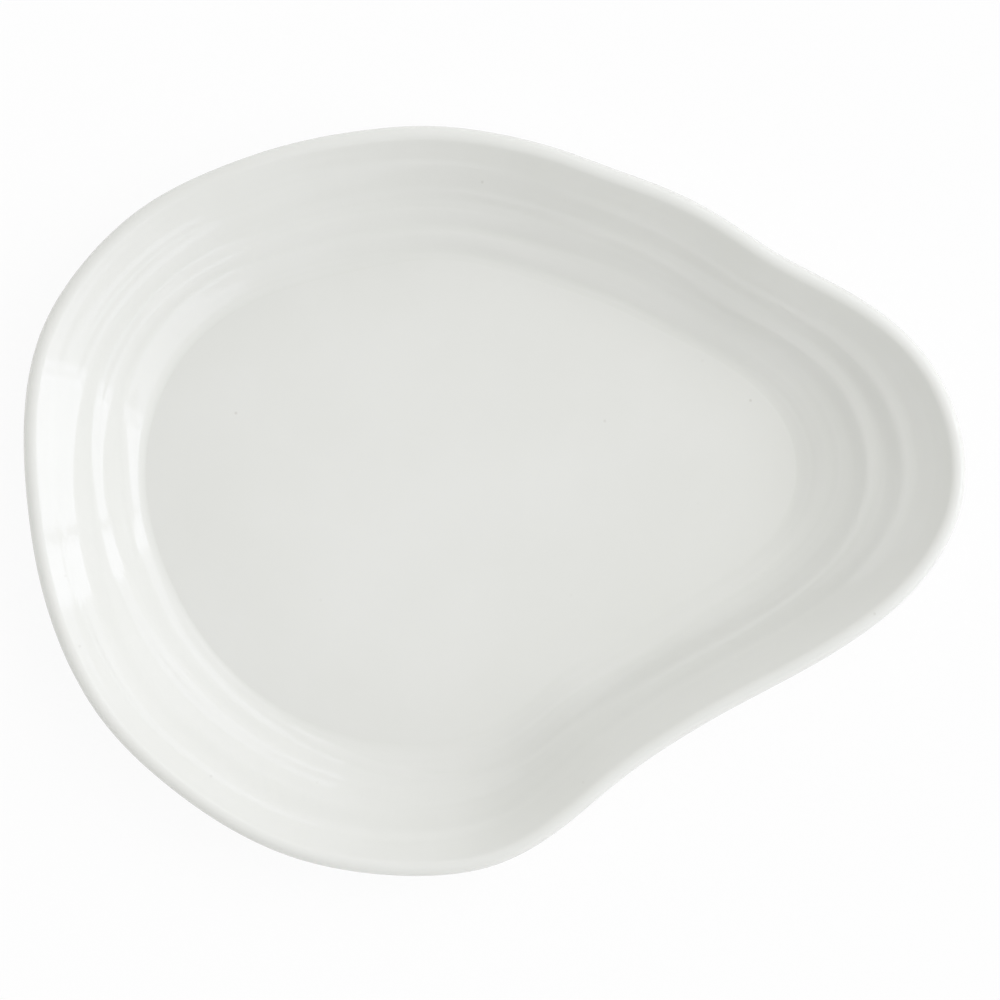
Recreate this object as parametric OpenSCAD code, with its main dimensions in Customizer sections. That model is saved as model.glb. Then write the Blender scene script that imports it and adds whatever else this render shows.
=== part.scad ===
// Oyster plate: a shallow porcelain dish whose outline follows an oyster shell.
// One fired body with a foot ring carries two coats of glaze, parted by the bare edge that it stands on.
// The plate's length runs along X, its width along Y, and it stands on the table at Z = 0.

/* [Plate] */
// Length of the plate over its rim
plate_length = 280; // [220:1:340]
// Width of the plate over its rim
plate_width = 223; // [180:1:270]
// Height of the rim above the table
plate_height = 36; // [28:1:46]

/* [Well and wall] */
// Thickness of the floor at the well's edge
floor_thickness = 5; // [4:0.1:7]
// Rise of the floor's middle above the well's edge
floor_crown = 0.8; // [0:0.1:1.5]
// Thickness of the wall and of its rounded lip
wall_thickness = 5; // [4:0.1:6]
// Width of the wall in plan at the plate's two ends, from the well's edge to the rim
end_wall_width = 42.5; // [38:0.5:47]
// Width of the wall in plan at the middle of the plate's two sides
side_wall_width = 39; // [35:0.5:43]
// Distance of the well's middle from the plate's middle, away from the narrow end
well_shift = 6.9; // [4:0.1:9]
// Slope of the wall at the lip where its share is 1, in degrees
lip_slope = 48; // [42:1:52]

/* [Throwing rings] */
// Height of a ring where its share is 1
ring_height = 0.7; // [0:0.1:1.2]
// Width of a ring across the wall
ring_width = 10; // [8:0.5:12]

/* [Foot] */
// Height of the foot ring, from the table to the base inside it
foot_height = 3; // [2.2:0.1:5]
// Width of the foot ring at the table
foot_width = 5; // [4:0.5:8]
// Distance of the foot's outer root inside the well's edge
foot_inset = 3; // [1:0.5:8]
// Draft of each side of the foot over its height
foot_draft = 1; // [0.4:0.1:2]
// Bevel along the two edges that the foot stands on
foot_bevel = 0.5; // [0.3:0.1:0.8]

/* [Glaze] */
// Thickness of the glaze
glaze_thickness = 0.3; // [0.2:0.05:0.5]
// Height of the band above the table that is wiped bare of glaze
bare_band = 1; // [0.9:0.1:1.6]

/* [Hidden] */

// Control radii of the rim's closed curve every 10 degrees, counter-clockwise from +X
rim_shares = [
    1.015, 1.015, 0.975, 0.885, 0.80, 0.78, 0.765, 0.75, 0.765,
    0.785, 0.815, 0.84, 0.88, 0.925, 0.985, 1.02, 1.045, 1.025,
    1.00, 0.99, 0.98, 0.965, 0.93, 0.905, 0.88, 0.845, 0.815,
    0.785, 0.725, 0.665, 0.64, 0.645, 0.675, 0.74, 0.835, 0.945];
// Control radii of the well's closed curve every 15 degrees
well_shares = [
    0.87, 0.875, 0.785, 0.69, 0.67, 0.66, 0.695, 0.765, 0.80, 0.90, 1.02, 1.055,
    1.04, 0.995, 0.96, 0.91, 0.84, 0.775, 0.68, 0.555, 0.545, 0.56, 0.605, 0.73];
// Crest of each throwing ring every 30 degrees, as shares of the wall's width from the well's edge
ring_place_shares = [
    [0.13, 0.19, 0.21, 0.185, 0.21, 0.21, 0.25, 0.25, 0.20, 0.15, 0.12, 0.13],
    [0.46, 0.48, 0.53, 0.37, 0.40, 0.445, 0.365, 0.30, 0.355, 0.43, 0.47, 0.46],
    [0.695, 0.695, 0.73, 0.76, 0.71, 0.62, 0.67, 0.73, 0.74, 0.77, 0.75, 0.71]];
// Height of each throwing ring every 15 degrees, as shares of ring_height
ring_height_shares = [
    [0.2, 0.1, 0.3, 0.6, 0.5, 0.8, 1.3, 1.2, 0.6, 0.4, 0.4, 0.2,
     0.1, 0.1, 0.2, 0.2, 0.1, 0.0, 0.1, 0.4, 0.4, 0.4, 0.5, 0.7],
    [0.8, 1.5, 0.2, 0.3, 0.3, 0.7, 0.6, 0.5, 0.5, 0.8, 1.0, 0.9,
     1.0, 0.9, 0.9, 0.9, 0.7, 0.4, 0.2, 0.1, 0.3, 1.2, 0.6, 0.4],
    [1.0, 1.8, 0.0, 0.1, 0.1, 0.1, 0.2, 0.5, 0.5, 0.8, 1.0, 0.9,
     0.8, 0.8, 0.7, 0.6, 0.5, 0.2, 0.1, 0.0, 0.0, 0.1, 0.2, 0.2]];
// Where the floor starts to fall to the well's edge, and a step on the way, as shares of the well's radius
floor_step_shares = [0.7, 0.86];
// Handles of the wall's profile curve at the well and at the lip every 15 degrees, as shares of its width
cove_handle_shares = [
    0.02, 0.10, 0.15, 0.15, 0.14, 0.12, 0.11, 0.12, 0.13, 0.11, 0.09, 0.11,
    0.17, 0.15, 0.12, 0.15, 0.19, 0.22, 0.25, 0.28, 0.34, 0.42, 0.49, 0.44];
lip_handle_shares = [
    0.19, 0.37, 0.62, 0.64, 0.54, 0.56, 0.60, 0.55, 0.50, 0.47, 0.46, 0.46,
    0.48, 0.46, 0.45, 0.45, 0.45, 0.45, 0.46, 0.52, 0.58, 0.60, 0.50, 0.45];
// Slope of the wall at the lip every 30 degrees, as shares of lip_slope
lip_slope_shares = [1.00, 1.00, 1.00, 1.08, 0.97, 0.82, 0.76, 0.84, 0.96, 1.00, 1.09, 1.18];
// Half step along the profile over which its slope is measured
slope_step_share = 0.02;

columns = 72;
wall_steps = 15;
under_steps = 4;
lip_radius = wall_thickness / 2;
well_z = foot_height + floor_thickness;

// Columns and vectors
function next(i) = (i + 1) % columns;
function previous(i) = (i + columns - 1) % columns;
function unit(v) = v / norm(v);
function raised(p, z) = [p.x, p.y, z];

// Value at t of the closed uniform cubic B-spline with these controls
function closed_spline(controls, t) =
    let (
        n = len(controls),
        k = floor(t),
        f = t - k,
        before = controls[(k + n - 1) % n] * (1 - f) ^ 3,
        here = controls[k % n] * (3 * f ^ 3 - 6 * f ^ 2 + 4),
        ahead = controls[(k + 1) % n] * (1 + 3 * f + 3 * f ^ 2 - 3 * f ^ 3),
        beyond = controls[(k + 2) % n] * f ^ 3
    )
    (before + here + ahead + beyond) / 6;
function around(controls) =
    [for (i = [0 : columns - 1]) closed_spline(controls, i * len(controls) / columns)];

// Value at t of the cubic Bezier curve with these four controls
function bezier(c, t) =
    c[0] * (1 - t) ^ 3 + 3 * c[1] * t * (1 - t) ^ 2 + 3 * c[2] * t ^ 2 * (1 - t) + c[3] * t ^ 3;

// Closed outlines in plan: their spans, outward normals and offsets
function along(outline, axis) = [for (p = outline) p[axis]];
function span(values) = max(values) - min(values);
function middle(values) = (max(values) + min(values)) / 2;
function fitted(outline, size) =
    let (xs = along(outline, 0), ys = along(outline, 1))
    [for (p = outline)
        [(p.x - middle(xs)) * size.x / span(xs), (p.y - middle(ys)) * size.y / span(ys)]];
function normals_of(outline) =
    [for (i = [0 : columns - 1])
        let (way = unit(outline[next(i)] - outline[previous(i)]))
        [way.y, -way.x]];
function inset_outline(outline, normals, depth) =
    [for (i = [0 : columns - 1]) outline[i] - normals[i] * depth];
function polar_outline(radii) =
    [for (i = [0 : columns - 1]) radii[i] * [cos(360 * i / columns), sin(360 * i / columns)]];

// The rim, the start of its lip, and the well's edge
rim = fitted(polar_outline(around(rim_shares)), [plate_length, plate_width]);
rim_normals = normals_of(rim);
lip_slopes = lip_slope * around(lip_slope_shares);
lip_start = [for (i = [0 : columns - 1]) rim[i] - rim_normals[i] * lip_radius * (1 + sin(lip_slopes[i]))];
lip_start_z = [for (slope = lip_slopes) plate_height - lip_radius * (1 - cos(slope))];
well_size = [plate_length - 2 * end_wall_width, plate_width - 2 * side_wall_width];
well = [for (p = fitted(polar_outline(around(well_shares)), well_size)) p - [well_shift, 0]];
well_normals = normals_of(well);

// Handles of the wall's profile, and the height that the throwing rings add at share s of its width
cove_handles = around(cove_handle_shares);
lip_handles = around(lip_handle_shares);
ring_places = [for (shares = ring_place_shares) around(shares)];
ring_heights = [for (shares = ring_height_shares) ring_height * around(shares)];
function ring_rise(place, height, s, width) =
    let (x = 2 * (s - place) * width / ring_width)
    abs(x) < 1 ? height * (1 + cos(180 * x)) / 2 : 0;
function rings_rise(i, s, width) =
    [for (k = [0 : len(ring_places) - 1]) ring_rise(ring_places[k][i], ring_heights[k][i], s, width)]
    * [for (place = ring_places) 1];

// Point of the wall's upper face in column i, at step t from the well's edge (0) to the lip (1)
function wall_point(i, t, ringed) =
    let (
        way = lip_start[i] - well[i],
        width = norm(way),
        slope = tan(lip_slopes[i]) * (way * rim_normals[i]) / width,
        s = bezier([0, cove_handles[i], 1 - lip_handles[i], 1], t),
        handle_z = lip_start_z[i] - lip_handles[i] * width * slope,
        z = bezier([well_z, well_z, handle_z, lip_start_z[i]], t)
    )
    raised(well[i] + s * way, ringed ? z + rings_rise(i, s, width) : z);
function wall_normal(i, t, ringed) =
    let (
        up = wall_point(i, t + slope_step_share, ringed) - wall_point(i, t - slope_step_share, ringed),
        across = wall_point(next(i), t, ringed) - wall_point(previous(i), t, ringed)
    )
    unit(cross(up, across));

// A station is a ring of points on the glazed surface and, for each, the way out of the plate.
// The way out is longer than 1 at a corner, so that the glaze keeps its thickness on both faces there.
function station(points, ways) = [points, ways];
function plain_station(outline, z, normals, side, lift) =
    station([for (p = outline) raised(p, z)], [for (n = normals) raised(side * n, lift)]);

// Floor: level in the middle, then falling to a shallow moat at the well's edge
function floor_fall(share) =
    let (f = (share - floor_step_shares[0]) / (1 - floor_step_shares[0]))
    floor_crown * (1 - f ^ 2 * (3 - 2 * f));
floor_stations = [for (share = floor_step_shares)
    plain_station(share * well, well_z + floor_fall(share), well_normals, 0, 1)];

// Wall: the ringed upper face
wall_stations = [for (k = [0 : wall_steps - 1])
    station(
        [for (i = [0 : columns - 1]) wall_point(i, k / wall_steps, true)],
        [for (i = [0 : columns - 1]) wall_normal(i, k / wall_steps, true)])];

// Lip: half a round from the wall's upper face, over the top and the outermost line, to its underside
function lip_tilts(i) = concat(
    [-lip_slopes[i], -lip_slopes[i] / 2],
    [for (k = [0 : 3]) 90 * k / 3],
    [180 - lip_slopes[i]]);
function lip_way(i, tilt) = raised(rim_normals[i] * sin(tilt), cos(tilt));
lip_middle = inset_outline(rim, rim_normals, lip_radius);
lip_middle_z = plate_height - lip_radius;
lip_stations = [for (k = [0 : len(lip_tilts(0)) - 1])
    let (ways = [for (i = [0 : columns - 1]) lip_way(i, lip_tilts(i)[k])])
    station(
        [for (i = [0 : columns - 1]) raised(lip_middle[i], lip_middle_z) + lip_radius * ways[i]],
        ways)];

// Underside: the wall without its rings, one thickness below
function under_depth(t) = floor_thickness + (wall_thickness - floor_thickness) * t;
under_stations = [for (k = [1 : under_steps])
    let (
        t = 1 - k / under_steps,
        ups = [for (i = [0 : columns - 1]) wall_normal(i, t, false)]
    )
    station(
        [for (i = [0 : columns - 1]) wall_point(i, t, false) - under_depth(t) * ups[i]],
        -ups)];

// Foot: insets of its outer and inner sides from the well's edge at height z
function foot_outer(z) = foot_inset + foot_draft * (1 - z / foot_height);
function foot_inner(z) = foot_inset + foot_draft + foot_width + foot_draft * z / foot_height;
function foot_ring(inset, z) =
    [for (p = inset_outline(well, well_normals, inset)) raised(p, z)];
function foot_station(inset, z, side, lift) =
    plain_station(inset_outline(well, well_normals, inset), z, well_normals, side, lift);
foot_stations = [
    foot_station(foot_outer(foot_height), foot_height, 1, -1),
    foot_station(foot_outer(bare_band), bare_band, 1, 0)];
base_stations = [
    foot_station(foot_inner(bare_band), bare_band, -1, 0),
    foot_station(foot_inner(foot_height), foot_height, -1, -1)];

// Skins: the glazed surface, and the porcelain one glaze thickness behind it
face_stations = concat(floor_stations, wall_stations, lip_stations, under_stations, foot_stations);
function glazed(stations) = [for (s = stations) s[0]];
function fired(stations) = [for (s = stations) s[0] - glaze_thickness * s[1]];
function turned(rings) = [for (k = [len(rings) - 1 : -1 : 0]) rings[k]];
floor_top = [0, 0, well_z + floor_crown];
base_top = [0, 0, foot_height];
glaze_depth = [0, 0, glaze_thickness];

// Bare rings that the plate stands on, from the outer side of the foot to the inner
standing_rings = [
    foot_ring(foot_outer(foot_bevel) + glaze_thickness, foot_bevel),
    foot_ring(foot_outer(0) + glaze_thickness + foot_bevel, 0),
    foot_ring(foot_inner(0) - glaze_thickness - foot_bevel, 0),
    foot_ring(foot_inner(foot_bevel) - glaze_thickness, foot_bevel)];

// Two triangles for the patch a, b, c, d, split along its shorter diagonal
function patch(points, a, b, c, d) =
    norm(points[a] - points[c]) <= norm(points[b] - points[d])
        ? [[a, b, c], [a, c, d]]
        : [[a, b, d], [b, c, d]];

// Solid through rings of points, closed at the top and the bottom by fans about two middle points
module capped_loft(top_middle, rings, bottom_middle) {
    top = len(rings) * columns;
    bottom = top + 1;
    last = top - columns;
    points = concat([for (ring = rings) each ring], [top_middle, bottom_middle]);
    patches = [for (k = [0 : columns : last - 1], i = [0 : columns - 1])
        each patch(points, k + i, k + next(i), k + columns + next(i), k + columns + i)];
    top_fan = [for (i = [0 : columns - 1]) [top, next(i), i]];
    bottom_fan = [for (i = [0 : columns - 1]) [bottom, last + i, last + next(i)]];
    polyhedron(points, concat(top_fan, patches, bottom_fan));
}

// The fired porcelain, with its foot
module porcelain_body() {
    color([0.93, 0.92, 0.88])
        capped_loft(
            floor_top - glaze_depth,
            concat(fired(face_stations), standing_rings, fired(base_stations)),
            base_top + glaze_depth);
}

// The glaze over the well, the wall, the lip and the outside, down to the foot's bare band
module face_glaze() {
    color([0.89, 0.89, 0.87])
        capped_loft(
            floor_top,
            concat(glazed(face_stations), turned(fired(face_stations))),
            floor_top - glaze_depth);
}

// The glaze on the base, inside the foot ring
module base_glaze() {
    color([0.87, 0.88, 0.86])
        capped_loft(
            base_top + glaze_depth,
            concat(turned(fired(base_stations)), glazed(base_stations)),
            base_top);
}

porcelain_body();
face_glaze();
base_glaze();
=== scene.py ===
"""Oyster plate: a white glazed porcelain dish shaped like an oyster shell, seen from straight above."""
import math

import bpy
import numpy as np
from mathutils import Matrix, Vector


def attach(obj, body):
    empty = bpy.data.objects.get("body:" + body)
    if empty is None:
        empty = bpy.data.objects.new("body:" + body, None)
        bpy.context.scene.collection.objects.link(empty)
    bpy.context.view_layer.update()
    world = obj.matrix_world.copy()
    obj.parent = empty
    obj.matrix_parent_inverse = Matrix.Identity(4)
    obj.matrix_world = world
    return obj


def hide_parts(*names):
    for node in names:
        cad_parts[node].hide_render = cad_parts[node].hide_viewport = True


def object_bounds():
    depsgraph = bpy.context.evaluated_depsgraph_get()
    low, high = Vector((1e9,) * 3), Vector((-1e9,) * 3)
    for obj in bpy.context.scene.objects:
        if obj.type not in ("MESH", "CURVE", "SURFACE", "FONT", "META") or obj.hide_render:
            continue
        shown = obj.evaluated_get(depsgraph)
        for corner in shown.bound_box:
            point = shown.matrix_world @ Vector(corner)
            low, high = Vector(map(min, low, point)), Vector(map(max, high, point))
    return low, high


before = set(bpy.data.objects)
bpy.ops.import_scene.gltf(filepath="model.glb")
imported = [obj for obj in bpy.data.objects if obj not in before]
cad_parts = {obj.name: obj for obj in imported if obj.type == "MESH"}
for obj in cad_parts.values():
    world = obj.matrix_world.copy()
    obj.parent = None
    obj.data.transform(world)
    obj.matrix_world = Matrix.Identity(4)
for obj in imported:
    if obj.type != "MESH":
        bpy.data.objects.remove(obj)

CAD_LOW, CAD_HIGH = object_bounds()

# Sizes in metres: the overall ones come from the frame, the others repeat the solids' driving sizes
PLATE_LENGTH = CAD_HIGH.x - CAD_LOW.x
PLATE_WIDTH = CAD_HIGH.y - CAD_LOW.y
PLATE_HEIGHT = CAD_HIGH.z - CAD_LOW.z
FLOOR_THICKNESS = 0.005
FLOOR_CROWN = 0.0008
WALL_THICKNESS = 0.005
END_WALL_WIDTH = 0.0425
SIDE_WALL_WIDTH = 0.039
WELL_SHIFT = 0.0069
LIP_SLOPE = math.radians(48)
RING_HEIGHT = 0.0007
RING_WIDTH = 0.010
FOOT_HEIGHT = 0.003
FOOT_WIDTH = 0.005
FOOT_INSET = 0.003
FOOT_DRAFT = 0.001
FOOT_BEVEL = 0.0005
FOOT_FILLET = 0.0014
GLAZE_THICKNESS = 0.0003
BARE_BAND = 0.001
LIP_RADIUS = WALL_THICKNESS / 2
WELL_Z = FOOT_HEIGHT + FLOOR_THICKNESS

# Control radii of the rim every 10 degrees and of the well every 15 degrees, counter-clockwise from +X
RIM_SHARES = [
    1.015, 1.015, 0.975, 0.885, 0.80, 0.78, 0.765, 0.75, 0.765,
    0.785, 0.815, 0.84, 0.88, 0.925, 0.985, 1.02, 1.045, 1.025,
    1.00, 0.99, 0.98, 0.965, 0.93, 0.905, 0.88, 0.845, 0.815,
    0.785, 0.725, 0.665, 0.64, 0.645, 0.675, 0.74, 0.835, 0.945]
WELL_SHARES = [
    0.87, 0.875, 0.785, 0.69, 0.67, 0.66, 0.695, 0.765, 0.80, 0.90, 1.02, 1.055,
    1.04, 0.995, 0.96, 0.91, 0.84, 0.775, 0.68, 0.555, 0.545, 0.56, 0.605, 0.73]
# Crest of each throwing ring every 30 degrees, as shares of the wall's width from the well's edge
RING_PLACE_SHARES = [
    [0.13, 0.19, 0.21, 0.185, 0.21, 0.21, 0.25, 0.25, 0.20, 0.15, 0.12, 0.13],
    [0.46, 0.48, 0.53, 0.37, 0.40, 0.445, 0.365, 0.30, 0.355, 0.43, 0.47, 0.46],
    [0.695, 0.695, 0.73, 0.76, 0.71, 0.62, 0.67, 0.73, 0.74, 0.77, 0.75, 0.71]]
# Height of each throwing ring every 15 degrees, as shares of RING_HEIGHT
RING_HEIGHT_SHARES = [
    [0.2, 0.1, 0.3, 0.6, 0.5, 0.8, 1.3, 1.2, 0.6, 0.4, 0.4, 0.2,
     0.1, 0.1, 0.2, 0.2, 0.1, 0.0, 0.1, 0.4, 0.4, 0.4, 0.5, 0.7],
    [0.8, 1.5, 0.2, 0.3, 0.3, 0.7, 0.6, 0.5, 0.5, 0.8, 1.0, 0.9,
     1.0, 0.9, 0.9, 0.9, 0.7, 0.4, 0.2, 0.1, 0.3, 1.2, 0.6, 0.4],
    [1.0, 1.8, 0.0, 0.1, 0.1, 0.1, 0.2, 0.5, 0.5, 0.8, 1.0, 0.9,
     0.8, 0.8, 0.7, 0.6, 0.5, 0.2, 0.1, 0.0, 0.0, 0.1, 0.2, 0.2]]
# Handles of the wall's profile at the well and the lip every 15 degrees, as shares of the wall's width
COVE_HANDLE_SHARES = [
    0.02, 0.10, 0.15, 0.15, 0.14, 0.12, 0.11, 0.12, 0.13, 0.11, 0.09, 0.11,
    0.17, 0.15, 0.12, 0.15, 0.19, 0.22, 0.25, 0.28, 0.34, 0.42, 0.49, 0.44]
LIP_HANDLE_SHARES = [
    0.19, 0.37, 0.62, 0.64, 0.54, 0.56, 0.60, 0.55, 0.50, 0.47, 0.46, 0.46,
    0.48, 0.46, 0.45, 0.45, 0.45, 0.45, 0.46, 0.52, 0.58, 0.60, 0.50, 0.45]
# Slope of the wall at the lip every 30 degrees, as shares of LIP_SLOPE
LIP_SLOPE_SHARES = [1.00, 1.00, 1.00, 1.08, 0.97, 0.82, 0.76, 0.84, 0.96, 1.00, 1.09, 1.18]
# Place and height of two sharper lines on the wall every 30 degrees, as the rings' are
LINE_WIDTH = 0.0045
LINE_HEIGHT = 0.00028
LINE_PLACE_SHARES = [
    [0.46, 0.47, 0.545, 0.585, 0.58, 0.55, 0.15, 0.035, 0.155, 0.45, 0.47, 0.53],
    [0.70, 0.70, 0.74, 0.80, 0.78, 0.78, 0.80, 0.80, 0.78, 0.74, 0.68, 0.69]]
LINE_HEIGHT_SHARES = [
    [0.4, -0.1, 0.8, 0.6, 0.2, 0.1, -0.1, 0.7, 0.6, 0.1, 0.8, 1.2],
    [0.4, 0.3, 0.4, 0.3, 0.4, 0.5, 0.4, 0.3, 0.2, 0.3, 0.6, 0.8]]
# Faint lines that fingers leave on the wall: how many, their sizes and how far they wander
TRACE_COUNT = 10
TRACE_WIDTH = 0.0032
TRACE_HEIGHT = 0.00009
TRACE_RANGE_SHARES = (0.10, 0.92)
TRACE_WANDER_SHARE = 0.025
TRACE_CONTROLS = 20
TRACE_SEED = 7
# Where the floor's crown starts to fall, the step for taking slopes, and the radius of the tightest hollows
FALL_START_SHARE = 0.7
SLOPE_STEP_SHARE = 0.006
HOLLOW_RADIUS = 0.006

# Fineness of the meshes
COLUMNS = 288
FLOOR_STEPS = 16
WALL_STEPS = 100
LIP_STEPS = 20
UNDER_STEPS = 24
FOOT_STEPS = 6
EDGE_STEPS = 6


# Closed curves in plan
def closed_spline(shares):
    """Values around a closed uniform cubic B-spline with these controls, one for each column."""
    controls = np.array(shares)
    place = np.arange(COLUMNS) * len(controls) / COLUMNS
    k = place.astype(int)
    f = place - k
    before = np.take(controls, k - 1, mode="wrap") * (1 - f) ** 3
    here = np.take(controls, k, mode="wrap") * (3 * f ** 3 - 6 * f ** 2 + 4)
    ahead = np.take(controls, k + 1, mode="wrap") * (1 + 3 * f + 3 * f ** 2 - 3 * f ** 3)
    beyond = np.take(controls, k + 2, mode="wrap") * f ** 3
    return (before + here + ahead + beyond) / 6


def fitted_outline(shares, length, width):
    """Closed outline with these polar radii, fitted to a length and a width about the origin."""
    angles = 2 * math.pi * np.arange(COLUMNS) / COLUMNS
    outline = closed_spline(shares)[:, None] * np.column_stack([np.cos(angles), np.sin(angles)])
    low = outline.min(axis=0)
    high = outline.max(axis=0)
    return (outline - (low + high) / 2) * np.array([length, width]) / (high - low)


def unit(vectors):
    """Vectors of length 1 in the same directions."""
    return vectors / np.linalg.norm(vectors, axis=1, keepdims=True)


def outward_normals(outline):
    """Unit ways out of a closed outline, square to it."""
    ways = unit(np.roll(outline, -1, axis=0) - np.roll(outline, 1, axis=0))
    return np.column_stack([ways[:, 1], -ways[:, 0]])


def raised(outline, z):
    """Points of a plan outline at height z, which is one number or one for each column."""
    return np.column_stack([outline, np.broadcast_to(z, len(outline))])


def bezier(a, b, c, d, t):
    """Value at t of a cubic Bezier curve with these controls."""
    return a * (1 - t) ** 3 + 3 * b * t * (1 - t) ** 2 + 3 * c * t ** 2 * (1 - t) + d * t ** 3


RIM = fitted_outline(RIM_SHARES, PLATE_LENGTH, PLATE_WIDTH)
RIM_NORMALS = outward_normals(RIM)
LIP_SLOPES = LIP_SLOPE * closed_spline(LIP_SLOPE_SHARES)
LIP_START = RIM - RIM_NORMALS * LIP_RADIUS * (1 + np.sin(LIP_SLOPES))[:, None]
LIP_START_Z = PLATE_HEIGHT - LIP_RADIUS * (1 - np.cos(LIP_SLOPES))
LIP_MIDDLE = RIM - RIM_NORMALS * LIP_RADIUS
WELL = fitted_outline(WELL_SHARES, PLATE_LENGTH - 2 * END_WALL_WIDTH, PLATE_WIDTH - 2 * SIDE_WALL_WIDTH)
WELL = WELL - np.array([WELL_SHIFT, 0])
WELL_NORMALS = outward_normals(WELL)
WALL_WAYS = LIP_START - WELL
WALL_WIDTHS = np.linalg.norm(WALL_WAYS, axis=1)
LIP_RISES = np.tan(LIP_SLOPES) * (WALL_WAYS * RIM_NORMALS).sum(axis=1) / WALL_WIDTHS
COVE_HANDLES = closed_spline(COVE_HANDLE_SHARES)
LIP_HANDLES = closed_spline(LIP_HANDLE_SHARES)


# The wall's rings and lines, each with its places and heights around the plate and its width
def shaped_rings(place_shares, height_shares, height, width):
    """Place and height in every column, and the width, of each ring with these controls."""
    rings = []
    for places, heights in zip(place_shares, height_shares):
        rings.append((closed_spline(places), height * closed_spline(heights), width))
    return rings


def finger_traces():
    """Faint lines at even distances up the wall, which wander and fade at random as they go round."""
    draw = np.random.default_rng(TRACE_SEED)
    low, high = TRACE_RANGE_SHARES
    places = []
    heights = []
    for k in range(TRACE_COUNT):
        middle = low + (high - low) * k / (TRACE_COUNT - 1)
        places.append(middle + TRACE_WANDER_SHARE * draw.uniform(-1, 1, TRACE_CONTROLS))
        heights.append(draw.uniform(-1, 1, TRACE_CONTROLS))
    return shaped_rings(places, heights, TRACE_HEIGHT, TRACE_WIDTH)


RINGS = shaped_rings(RING_PLACE_SHARES, RING_HEIGHT_SHARES, RING_HEIGHT, RING_WIDTH)
RINGS += shaped_rings(LINE_PLACE_SHARES, LINE_HEIGHT_SHARES, LINE_HEIGHT, LINE_WIDTH)
RINGS += finger_traces()


# The wall's faces
def rings_rise(s):
    """Height that the rings and lines add at share s of the wall's width."""
    rise = np.zeros(COLUMNS)
    for place, height, width in RINGS:
        x = np.clip(2 * (s - place) * WALL_WIDTHS / width, -1, 1)
        rise += height * (1 + np.cos(math.pi * x)) / 2
    return rise


def wall_points(t, ringed):
    """Points of the wall's upper face at step t from the well's edge (0) to the lip (1)."""
    s = bezier(0, COVE_HANDLES, 1 - LIP_HANDLES, 1, t)
    handle_z = LIP_START_Z - LIP_HANDLES * WALL_WIDTHS * LIP_RISES
    z = bezier(WELL_Z, WELL_Z, handle_z, LIP_START_Z, t)
    if ringed:
        z = z + rings_rise(s)
    return raised(WELL + s[:, None] * WALL_WAYS, z)


def wall_normals(t, ringed):
    """Unit ways up out of the wall's upper face at step t."""
    up = wall_points(t + SLOPE_STEP_SHARE, ringed) - wall_points(t - SLOPE_STEP_SHARE, ringed)
    here = wall_points(t, ringed)
    across = np.roll(here, -1, axis=0) - np.roll(here, 1, axis=0)
    return unit(np.cross(up, across))


# A station is a ring of points on the glazed surface and, for each, the unit way out of the plate
UPWARD = raised(np.zeros((COLUMNS, 2)), 1)


def floor_stations():
    stations = []
    for k in range(1, FLOOR_STEPS):
        share = k / FLOOR_STEPS
        f = max(0, (share - FALL_START_SHARE) / (1 - FALL_START_SHARE))
        z = WELL_Z + FLOOR_CROWN * (1 - f ** 2 * (3 - 2 * f))
        stations.append((raised(share * WELL, z), UPWARD))
    return stations


def wall_stations():
    steps = [k / WALL_STEPS for k in range(WALL_STEPS)]
    return [(wall_points(t, True), wall_normals(t, True)) for t in steps]


def lip_stations():
    stations = []
    for k in range(LIP_STEPS + 1):
        tilts = math.pi * k / LIP_STEPS - LIP_SLOPES
        ways = raised(RIM_NORMALS * np.sin(tilts)[:, None], np.cos(tilts))
        stations.append((raised(LIP_MIDDLE, PLATE_HEIGHT - LIP_RADIUS) + LIP_RADIUS * ways, ways))
    return stations


def under_stations():
    stations = []
    for k in range(1, UNDER_STEPS + 1):
        t = 1 - k / UNDER_STEPS
        ups = wall_normals(t, False)
        depth = FLOOR_THICKNESS + (WALL_THICKNESS - FLOOR_THICKNESS) * t
        stations.append((wall_points(t, False) - depth * ups, -ups))
    return stations


# The foot's section is drawn in insets from the well's edge and heights above the table
def inset_station(inset, z, way_inset, way_z):
    points = raised(WELL - WELL_NORMALS * inset, z)
    return points, raised(-WELL_NORMALS * way_inset, way_z)


def foot_outer(z):
    return FOOT_INSET + FOOT_DRAFT * (1 - z / FOOT_HEIGHT)


def foot_inner(z):
    return FOOT_INSET + FOOT_DRAFT + FOOT_WIDTH + FOOT_DRAFT * z / FOOT_HEIGHT


def root_stations(root_inset, side):
    """Fillet from the level underside to the foot's drafted side; side is 1 outside the foot, -1 inside."""
    draft = math.atan2(FOOT_DRAFT, FOOT_HEIGHT)
    centre = root_inset + side * (math.tan(draft) - 1 / math.cos(draft)) * FOOT_FILLET
    stations = []
    for k in range(FOOT_STEPS + 1):
        angle = (math.pi / 2 - draft) * k / FOOT_STEPS
        inset = centre + side * FOOT_FILLET * math.sin(angle)
        z = FOOT_HEIGHT - FOOT_FILLET * (1 - math.cos(angle))
        stations.append(inset_station(inset, z, -side * math.sin(angle), -math.cos(angle)))
    return stations


def outer_foot_stations():
    stations = root_stations(foot_outer(FOOT_HEIGHT), 1)
    stations.append(inset_station(foot_outer(BARE_BAND), BARE_BAND, -1, 0))
    return stations


def inner_foot_stations():
    stations = root_stations(foot_inner(FOOT_HEIGHT), -1)
    stations.append(inset_station(foot_inner(BARE_BAND), BARE_BAND, 1, 0))
    return stations[::-1]


def base_stations():
    inner = WELL - WELL_NORMALS * (foot_inner(FOOT_HEIGHT) + FOOT_FILLET)
    shares = [1 - k / FLOOR_STEPS for k in range(1, FLOOR_STEPS)]
    return [(raised(share * inner, FOOT_HEIGHT), -UPWARD) for share in shares]


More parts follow.
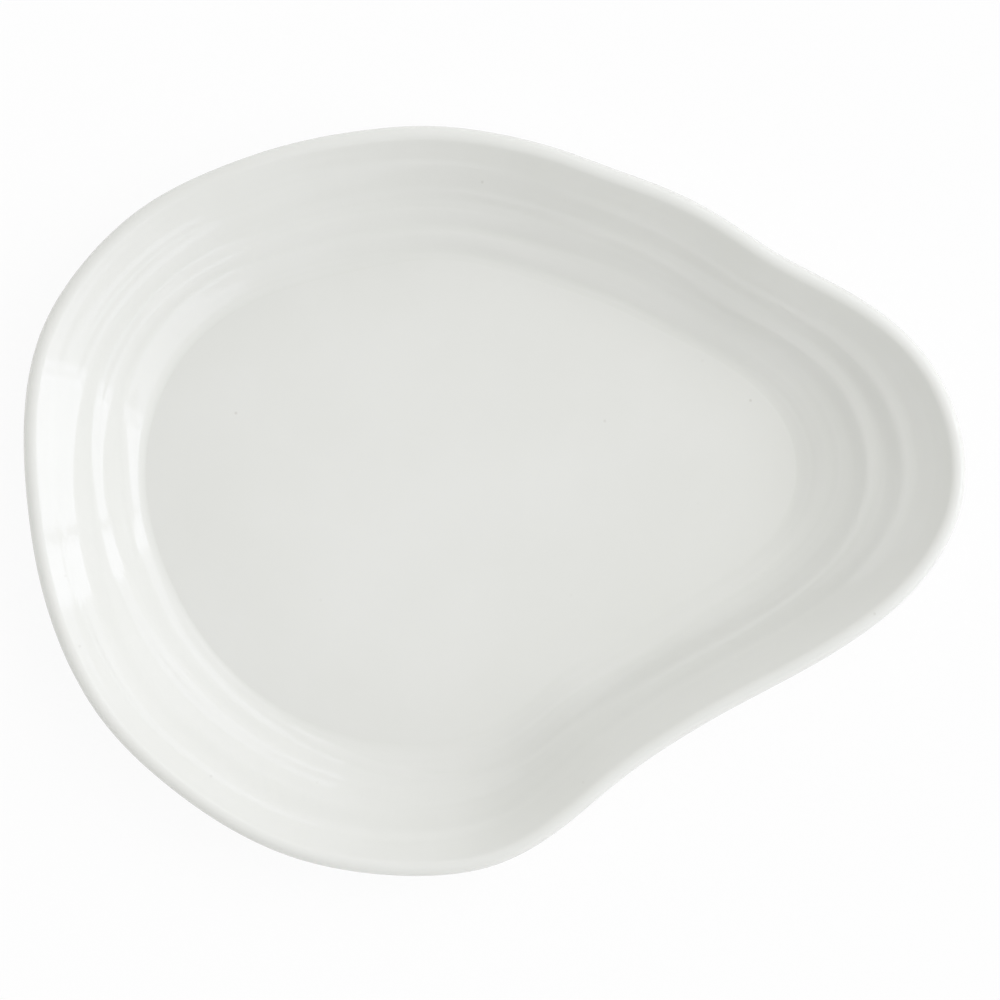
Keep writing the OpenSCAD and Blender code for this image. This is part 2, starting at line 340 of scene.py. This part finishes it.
def standing_rings():
    """Bare rings that the plate stands on, from the foot's outer side to its inner, with rounded edges."""
    rings = []
    for k in range(FOOT_STEPS + 1):
        angle = math.pi / 2 * k / FOOT_STEPS
        inset = foot_outer(FOOT_BEVEL) + GLAZE_THICKNESS + FOOT_BEVEL * (1 - math.cos(angle))
        rings.append(inset_station(inset, FOOT_BEVEL * (1 - math.sin(angle)), 0, -1)[0])
    first_flat = foot_outer(FOOT_BEVEL) + GLAZE_THICKNESS + FOOT_BEVEL
    last_flat = foot_inner(FOOT_BEVEL) - GLAZE_THICKNESS - FOOT_BEVEL
    for k in range(1, FOOT_STEPS):
        inset = first_flat + (last_flat - first_flat) * k / FOOT_STEPS
        rings.append(inset_station(inset, 0, 0, -1)[0])
    for k in range(FOOT_STEPS + 1):
        angle = math.pi / 2 * k / FOOT_STEPS
        inset = last_flat + FOOT_BEVEL * math.sin(angle)
        rings.append(inset_station(inset, FOOT_BEVEL * (1 - math.cos(angle)), 0, -1)[0])
    return rings


# Skins and closed meshes
def glazed(stations):
    """Rings of points on the outer face of the glaze."""
    return [points for points, ways in stations]


def fired(stations):
    """Rings of points on the porcelain under the glaze."""
    return [points - GLAZE_THICKNESS * ways for points, ways in stations]


def rounded_edge(station):
    """Rings round the glaze's lower edge, from its outer face to the porcelain."""
    points, ways = station
    radius = GLAZE_THICKNESS / 2
    rings = []
    for k in range(1, EDGE_STEPS):
        angle = math.pi * k / EDGE_STEPS
        down = np.array([0, 0, -radius * math.sin(angle)])
        rings.append(points - ways * radius * (1 - math.cos(angle)) + down)
    return rings


def ring_loft(name, top_middle, rings, bottom_middle):
    """Closed mesh through rings of points, with a fan of triangles about a middle point at each end."""
    count = len(rings)
    points = np.concatenate(rings + [np.array([top_middle, bottom_middle])])
    top = count * COLUMNS
    bottom = top + 1
    this = np.arange(COLUMNS)
    following = (this + 1) % COLUMNS
    faces = [(top, b, a) for a, b in zip(following.tolist(), this.tolist())]
    for k in range(count - 1):
        upper = k * COLUMNS
        lower = upper + COLUMNS
        quads = np.column_stack([upper + this, lower + this, lower + following, upper + following])
        faces += quads.tolist()
    last = (count - 1) * COLUMNS
    faces += [(bottom, last + b, last + a) for a, b in zip(this.tolist(), following.tolist())]
    mesh = bpy.data.meshes.new(name)
    mesh.from_pydata(points.tolist(), [], faces)
    mesh.validate()
    mesh.shade_smooth()
    piece = bpy.data.objects.new(name, mesh)
    bpy.context.scene.collection.objects.link(piece)
    return piece


def hollow_shares(stations):
    """How hollow the glazed face is at each point: 0 where flat or round, 1 in the tightest hollows."""
    points = np.array([station[0] for station in stations])
    ways = np.array([station[1] for station in stations])
    steps = points[2:] - points[:-2]
    turns = ((ways[2:] - ways[:-2]) * steps).sum(axis=2) / (steps ** 2).sum(axis=2)
    shares = np.zeros(points.shape[:2])
    shares[1:-1] = np.clip(-turns * HOLLOW_RADIUS, 0, 1)
    return shares


def mark_pooling(piece, outer, edge_rings):
    """Stores how much glaze has pooled at each vertex of a coat: outer skin, edge and inner skin."""
    edge = np.zeros((edge_rings, COLUMNS))
    shares = np.concatenate([outer, edge, outer[::-1]]).ravel()
    layer = piece.data.attributes.new("pooling", "FLOAT", "POINT")
    layer.data.foreach_set("value", np.append(shares, [0, 0]))


# Materials. A scale is in waves per metre, a span is the part of a noise that is used, and a share says
# how much of the second colour comes in at most
GLAZE_COLOUR = (0.805, 0.81, 0.775, 1)
GLAZE_ROUGHNESS = (0.04, 0.08)
GLOSS_SCALE = 55
GLOSS_DETAIL = 2
GLOSS_SPAN = (0.3, 0.7)
CLOUD_COLOUR = (0.792, 0.798, 0.76, 1)
CLOUD_SCALE = 32
CLOUD_DETAIL = 3
CLOUD_SPAN = (0.35, 0.65)
POOL_COLOUR = (0.74, 0.758, 0.70, 1)
POOL_SHARE = 0.2
SKIN_SCALE = 650
SKIN_DETAIL = 1
SKIN_STRENGTH = 0.06
SKIN_DEPTH = 0.0002
# Specks: the share of the grid's cells that have one, and the shares of its radius between which it fades
SPECK_COLOUR = (0.36, 0.33, 0.27, 1)
SPECK_SCALE = 26
SPECK_RADIUS = 0.00045
SPECK_FADE_SHARES = (0.5, 1.3)
SPECK_CHANCE = 0.5
SPECK_STRENGTH = 0.22
BISQUE_COLOUR = (0.76, 0.74, 0.68, 1)
BISQUE_ROUGHNESS = (0.75, 0.92)
MATT_SCALE = 300
MATT_DETAIL = 2
MATT_SPAN = (0.3, 0.7)
STAIN_SCALE = 90
STAIN_DETAIL = 4
STAIN_SPAN = (0.4, 0.75)
STAIN_SHARE = 0.6
GRAIN_COLOUR = (0.66, 0.63, 0.56, 1)
GRAIN_SCALE = 2200
GRAIN_DETAIL = 3
GRAIN_SPAN = (0.58, 0.75)
GRAIN_SHARE = 0.5
GRAIN_STRENGTH = 0.35
GRAIN_DEPTH = 0.0001


def new_material(name):
    material = bpy.data.materials.new(name)
    material.use_nodes = True
    tree = material.node_tree
    return material, tree, tree.nodes["Principled BSDF"]


def add_noise(tree, coordinates, scale, detail):
    noise = tree.nodes.new("ShaderNodeTexNoise")
    noise.inputs["Scale"].default_value = scale
    noise.inputs["Detail"].default_value = detail
    tree.links.new(coordinates, noise.inputs["Vector"])
    return noise.outputs["Fac"]


def add_range(tree, value, source, target):
    """Spreads a value from one range, which it is held to, over another."""
    spread = tree.nodes.new("ShaderNodeMapRange")
    spread.inputs["From Min"].default_value = source[0]
    spread.inputs["From Max"].default_value = source[1]
    spread.inputs["To Min"].default_value = target[0]
    spread.inputs["To Max"].default_value = target[1]
    tree.links.new(value, spread.inputs["Value"])
    return spread.outputs["Result"]


def add_product(tree, first, second):
    product = tree.nodes.new("ShaderNodeMath")
    product.operation = "MULTIPLY"
    tree.links.new(first, product.inputs[0])
    tree.links.new(second, product.inputs[1])
    return product.outputs[0]


def add_tint(tree, factor, colour, over):
    """Mixes a colour over another one, which is a socket or a plain colour."""
    mix = tree.nodes.new("ShaderNodeMix")
    mix.data_type = "RGBA"
    mix.inputs["B"].default_value = colour
    if isinstance(over, tuple):
        mix.inputs["A"].default_value = over
    else:
        tree.links.new(over, mix.inputs["A"])
    tree.links.new(factor, mix.inputs["Factor"])
    return mix.outputs["Result"]


def add_bump(tree, height, strength, distance, shader):
    bump = tree.nodes.new("ShaderNodeBump")
    bump.inputs["Strength"].default_value = strength
    bump.inputs["Distance"].default_value = distance
    tree.links.new(height, bump.inputs["Height"])
    tree.links.new(bump.outputs["Normal"], shader.inputs["Normal"])


def add_specks(tree, coordinates):
    """Sparse small spots: one at a random place in some of the cells of a grid, seen from above."""
    cells = tree.nodes.new("ShaderNodeTexVoronoi")
    cells.voronoi_dimensions = "2D"
    cells.inputs["Scale"].default_value = SPECK_SCALE
    tree.links.new(coordinates, cells.inputs["Vector"])
    fade = [share * SPECK_RADIUS * SPECK_SCALE for share in SPECK_FADE_SHARES]
    spot = add_range(tree, cells.outputs["Distance"], fade, (1, 0))
    chance = tree.nodes.new("ShaderNodeSeparateColor")
    tree.links.new(cells.outputs["Color"], chance.inputs["Color"])
    strength = add_range(tree, chance.outputs["Red"], (1 - SPECK_CHANCE, 1), (0, SPECK_STRENGTH))
    return add_product(tree, spot, strength)


def glaze_material():
    """Glossy off-white glaze: faint clouds, greyer where it pools, a few specks and an uneven skin."""
    material, tree, shader = new_material("white_glaze")
    coordinates = tree.nodes.new("ShaderNodeTexCoord").outputs["Object"]
    clouds = add_range(tree, add_noise(tree, coordinates, CLOUD_SCALE, CLOUD_DETAIL), CLOUD_SPAN, (0, 1))
    colour = add_tint(tree, clouds, CLOUD_COLOUR, GLAZE_COLOUR)
    pooling = tree.nodes.new("ShaderNodeAttribute")
    pooling.attribute_name = "pooling"
    pooled = add_range(tree, pooling.outputs["Fac"], (0, 1), (0, POOL_SHARE))
    colour = add_tint(tree, pooled, POOL_COLOUR, colour)
    colour = add_tint(tree, add_specks(tree, coordinates), SPECK_COLOUR, colour)
    tree.links.new(colour, shader.inputs["Base Color"])
    sheen = add_noise(tree, coordinates, GLOSS_SCALE, GLOSS_DETAIL)
    gloss = add_range(tree, sheen, GLOSS_SPAN, GLAZE_ROUGHNESS)
    tree.links.new(gloss, shader.inputs["Roughness"])
    skin = add_noise(tree, coordinates, SKIN_SCALE, SKIN_DETAIL)
    add_bump(tree, skin, SKIN_STRENGTH, SKIN_DEPTH, shader)
    return material


def bisque_material():
    """Bare fired porcelain: matt, with fine grain and a slightly uneven warm white."""
    material, tree, shader = new_material("bisque_porcelain")
    coordinates = tree.nodes.new("ShaderNodeTexCoord").outputs["Object"]
    blotches = add_noise(tree, coordinates, STAIN_SCALE, STAIN_DETAIL)
    stains = add_range(tree, blotches, STAIN_SPAN, (0, STAIN_SHARE))
    colour = add_tint(tree, stains, GRAIN_COLOUR, BISQUE_COLOUR)
    grain = add_noise(tree, coordinates, GRAIN_SCALE, GRAIN_DETAIL)
    grains = add_range(tree, grain, GRAIN_SPAN, (0, GRAIN_SHARE))
    colour = add_tint(tree, grains, GRAIN_COLOUR, colour)
    tree.links.new(colour, shader.inputs["Base Color"])
    dullness = add_noise(tree, coordinates, MATT_SCALE, MATT_DETAIL)
    matt = add_range(tree, dullness, MATT_SPAN, BISQUE_ROUGHNESS)
    tree.links.new(matt, shader.inputs["Roughness"])
    add_bump(tree, grain, GRAIN_STRENGTH, GRAIN_DEPTH, shader)
    return material


def build_plate():
    """The three pieces, each riding on the one body and standing for its node."""
    face = floor_stations() + wall_stations() + lip_stations() + under_stations() + outer_foot_stations()
    base = inner_foot_stations() + base_stations()
    floor_top = np.array([0, 0, WELL_Z + FLOOR_CROWN])
    base_top = np.array([0, 0, FOOT_HEIGHT])
    depth = np.array([0, 0, GLAZE_THICKNESS])
    glaze = glaze_material()
    body_rings = fired(face) + standing_rings() + fired(base)
    body = ring_loft("porcelain_body_fine", floor_top - depth, body_rings, base_top + depth)
    face_rings = glazed(face) + rounded_edge(face[-1]) + fired(face)[::-1]
    face_glaze = ring_loft("face_glaze_fine", floor_top, face_rings, floor_top - depth)
    base_rings = fired(base)[::-1] + rounded_edge(base[0])[::-1] + glazed(base)
    base_glaze = ring_loft("base_glaze_fine", base_top + depth, base_rings, base_top)
    mark_pooling(face_glaze, hollow_shares(face), EDGE_STEPS - 1)
    mark_pooling(base_glaze, hollow_shares(base)[::-1], EDGE_STEPS - 1)
    body.data.materials.append(bisque_material())
    face_glaze.data.materials.append(glaze)
    base_glaze.data.materials.append(glaze)
    for piece, node, slot in (
            (body, "porcelain_body", "bisque_porcelain"),
            (face_glaze, "face_glaze", "white_glaze"),
            (base_glaze, "base_glaze", "white_glaze")):
        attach(piece, "root")
        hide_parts(node)


# Floor, light and camera
FLOOR_SIZE = 40
FLOOR_COLOUR = (0.9, 0.9, 0.9, 1)
FLOOR_GLOW_SHARE = 0.92
HORIZON_STRENGTH = 0.79
ZENITH_STRENGTH = 0.138
# Broad glows of the studio: azimuth from +X and elevation in degrees, and strength
GLOWS = [(0, 58, 2.2), (30, 58, 1.7), (135, 12, 1.12), (225, 12, 1.07)]
GLOW_POWER = 12
SOFTBOX_COLOUR = (0.97, 0.98, 1.15)
SOFTBOX_DISTANCE = 2.0
# Soft lamps that the glaze mirrors: azimuth from +X and elevation in degrees, width, height and watts
SOFTBOXES = [
    ("strip_front", -0.8, 19, 0.648, 0.636, 2.3),
    ("strip_border", -12.4, 19, 0.168, 0.636, 0.37),
    ("strip_back", 13.75, 19, 0.262, 0.636, 1.05),
    ("screen_front", -39, 23, 1.85, 0.456, 2.0),
    ("screen_back", 46, 23, 2.05, 0.456, 2.2)]
# Framing: the plate's length and middle in the image's pixels, and the camera's height above the table
IMAGE_PIXELS = 1000
PLATE_PIXELS = 942
PLATE_MIDDLE_PIXELS = (494.5, 501)
CAMERA_HEIGHT = 2.5
CAMERA_RANGE = 160
SENSOR_WIDTH_MM = 36


def seen_directly(tree):
    """Factor of 1 for camera, glossy and transmission rays, and of 0 for those that light the plate."""
    path = tree.nodes.new("ShaderNodeLightPath")
    camera_or_glossy = tree.nodes.new("ShaderNodeMath")
    camera_or_glossy.operation = "MAXIMUM"
    tree.links.new(path.outputs["Is Camera Ray"], camera_or_glossy.inputs[0])
    tree.links.new(path.outputs["Is Glossy Ray"], camera_or_glossy.inputs[1])
    any_direct = tree.nodes.new("ShaderNodeMath")
    any_direct.operation = "MAXIMUM"
    tree.links.new(camera_or_glossy.outputs[0], any_direct.inputs[0])
    tree.links.new(path.outputs["Is Transmission Ray"], any_direct.inputs[1])
    return any_direct.outputs[0]


def build_floor():
    """Level floor that looks white and keeps the plate's shadow."""
    half = FLOOR_SIZE / 2
    mesh = bpy.data.meshes.new("floor")
    corners = [(-half, -half, 0), (half, -half, 0), (half, half, 0), (-half, half, 0)]
    mesh.from_pydata(corners, [], [(0, 1, 2, 3)])
    floor = bpy.data.objects.new("floor", mesh)
    bpy.context.scene.collection.objects.link(floor)
    material, tree, shader = new_material("floor_white")
    tree.nodes.remove(shader)
    diffuse = tree.nodes.new("ShaderNodeBsdfDiffuse")
    diffuse.inputs["Color"].default_value = FLOOR_COLOUR
    glow = tree.nodes.new("ShaderNodeEmission")
    share = tree.nodes.new("ShaderNodeMath")
    share.operation = "MULTIPLY"
    share.inputs[1].default_value = FLOOR_GLOW_SHARE
    tree.links.new(seen_directly(tree), share.inputs[0])
    mix = tree.nodes.new("ShaderNodeMixShader")
    tree.links.new(share.outputs[0], mix.inputs["Fac"])
    tree.links.new(diffuse.outputs["BSDF"], mix.inputs[1])
    tree.links.new(glow.outputs["Emission"], mix.inputs[2])
    tree.links.new(mix.outputs["Shader"], tree.nodes["Material Output"].inputs["Surface"])
    mesh.materials.append(material)


def way_to(azimuth, elevation):
    """Unit way from the plate to an azimuth and an elevation in degrees."""
    level = math.cos(math.radians(elevation))
    x = level * math.cos(math.radians(azimuth))
    y = level * math.sin(math.radians(azimuth))
    return Vector((x, y, math.sin(math.radians(elevation))))


def add_glow(tree, direction, azimuth, elevation, strength, light):
    """Adds to the light a broad lobe about the way to an azimuth and an elevation."""
    facing = tree.nodes.new("ShaderNodeVectorMath")
    facing.operation = "DOT_PRODUCT"
    facing.inputs[1].default_value = way_to(azimuth, elevation)
    tree.links.new(direction, facing.inputs[0])
    ahead = tree.nodes.new("ShaderNodeMath")
    ahead.operation = "MAXIMUM"
    ahead.inputs[1].default_value = 0
    tree.links.new(facing.outputs["Value"], ahead.inputs[0])
    lobe = tree.nodes.new("ShaderNodeMath")
    lobe.operation = "POWER"
    lobe.inputs[1].default_value = GLOW_POWER
    tree.links.new(ahead.outputs[0], lobe.inputs[0])
    total = tree.nodes.new("ShaderNodeMath")
    total.operation = "MULTIPLY_ADD"
    total.inputs[1].default_value = strength
    tree.links.new(lobe.outputs[0], total.inputs[0])
    tree.links.new(light, total.inputs[2])
    return total.outputs[0]


def build_world():
    """Studio light: a dome that darkens upward, with broad glows. Seen directly, it is white."""
    world = bpy.data.worlds.new("studio")
    world.use_nodes = True
    tree = world.node_tree
    background = tree.nodes["Background"]
    background.inputs["Color"].default_value = (1, 1, 1, 1)
    direction = tree.nodes.new("ShaderNodeTexCoord").outputs["Generated"]
    height = tree.nodes.new("ShaderNodeSeparateXYZ")
    tree.links.new(direction, height.inputs[0])
    dome = tree.nodes.new("ShaderNodeMapRange")
    dome.inputs["To Min"].default_value = HORIZON_STRENGTH
    dome.inputs["To Max"].default_value = ZENITH_STRENGTH
    tree.links.new(height.outputs["Z"], dome.inputs["Value"])
    light = dome.outputs["Result"]
    for azimuth, elevation, strength in GLOWS:
        light = add_glow(tree, direction, azimuth, elevation, strength, light)
    seen = tree.nodes.new("ShaderNodeMix")
    seen.inputs["B"].default_value = 1
    tree.links.new(seen_directly(tree), seen.inputs["Factor"])
    tree.links.new(light, seen.inputs["A"])
    tree.links.new(seen.outputs["Result"], background.inputs["Strength"])
    bpy.context.scene.world = world


def add_softbox(name, azimuth, elevation, width, height, power):
    """Rectangular lamp at an azimuth and an elevation in degrees, facing the plate's middle."""
    lamp = bpy.data.lights.new(name, "AREA")
    lamp.shape = "RECTANGLE"
    lamp.size = width
    lamp.size_y = height
    lamp.energy = power
    lamp.color = SOFTBOX_COLOUR
    softbox = bpy.data.objects.new(name, lamp)
    softbox.location = SOFTBOX_DISTANCE * way_to(azimuth, elevation)
    softbox.rotation_euler = (math.radians(90 - elevation), 0, math.radians(azimuth + 90))
    softbox.visible_camera = False
    bpy.context.scene.collection.objects.link(softbox)


def build_camera():
    """Camera straight above, whose image shows the rim at the photograph's size and place."""
    pixel = PLATE_LENGTH / PLATE_PIXELS
    rim_distance = CAMERA_HEIGHT - PLATE_HEIGHT + LIP_RADIUS
    data = bpy.data.cameras.new("camera")
    data.sensor_width = SENSOR_WIDTH_MM
    data.lens = SENSOR_WIDTH_MM * rim_distance / (IMAGE_PIXELS * pixel)
    data.clip_end = CAMERA_RANGE
    camera = bpy.data.objects.new("camera", data)
    across = (IMAGE_PIXELS / 2 - PLATE_MIDDLE_PIXELS[0]) * pixel
    along = (PLATE_MIDDLE_PIXELS[1] - IMAGE_PIXELS / 2) * pixel
    camera.location = (across, along, CAMERA_HEIGHT)
    bpy.context.scene.collection.objects.link(camera)
    bpy.context.scene.camera = camera


build_plate()
build_floor()
build_world()
for softbox in SOFTBOXES:
    add_softbox(*softbox)
build_camera()
bpy.context.scene.view_settings.view_transform = "Standard"
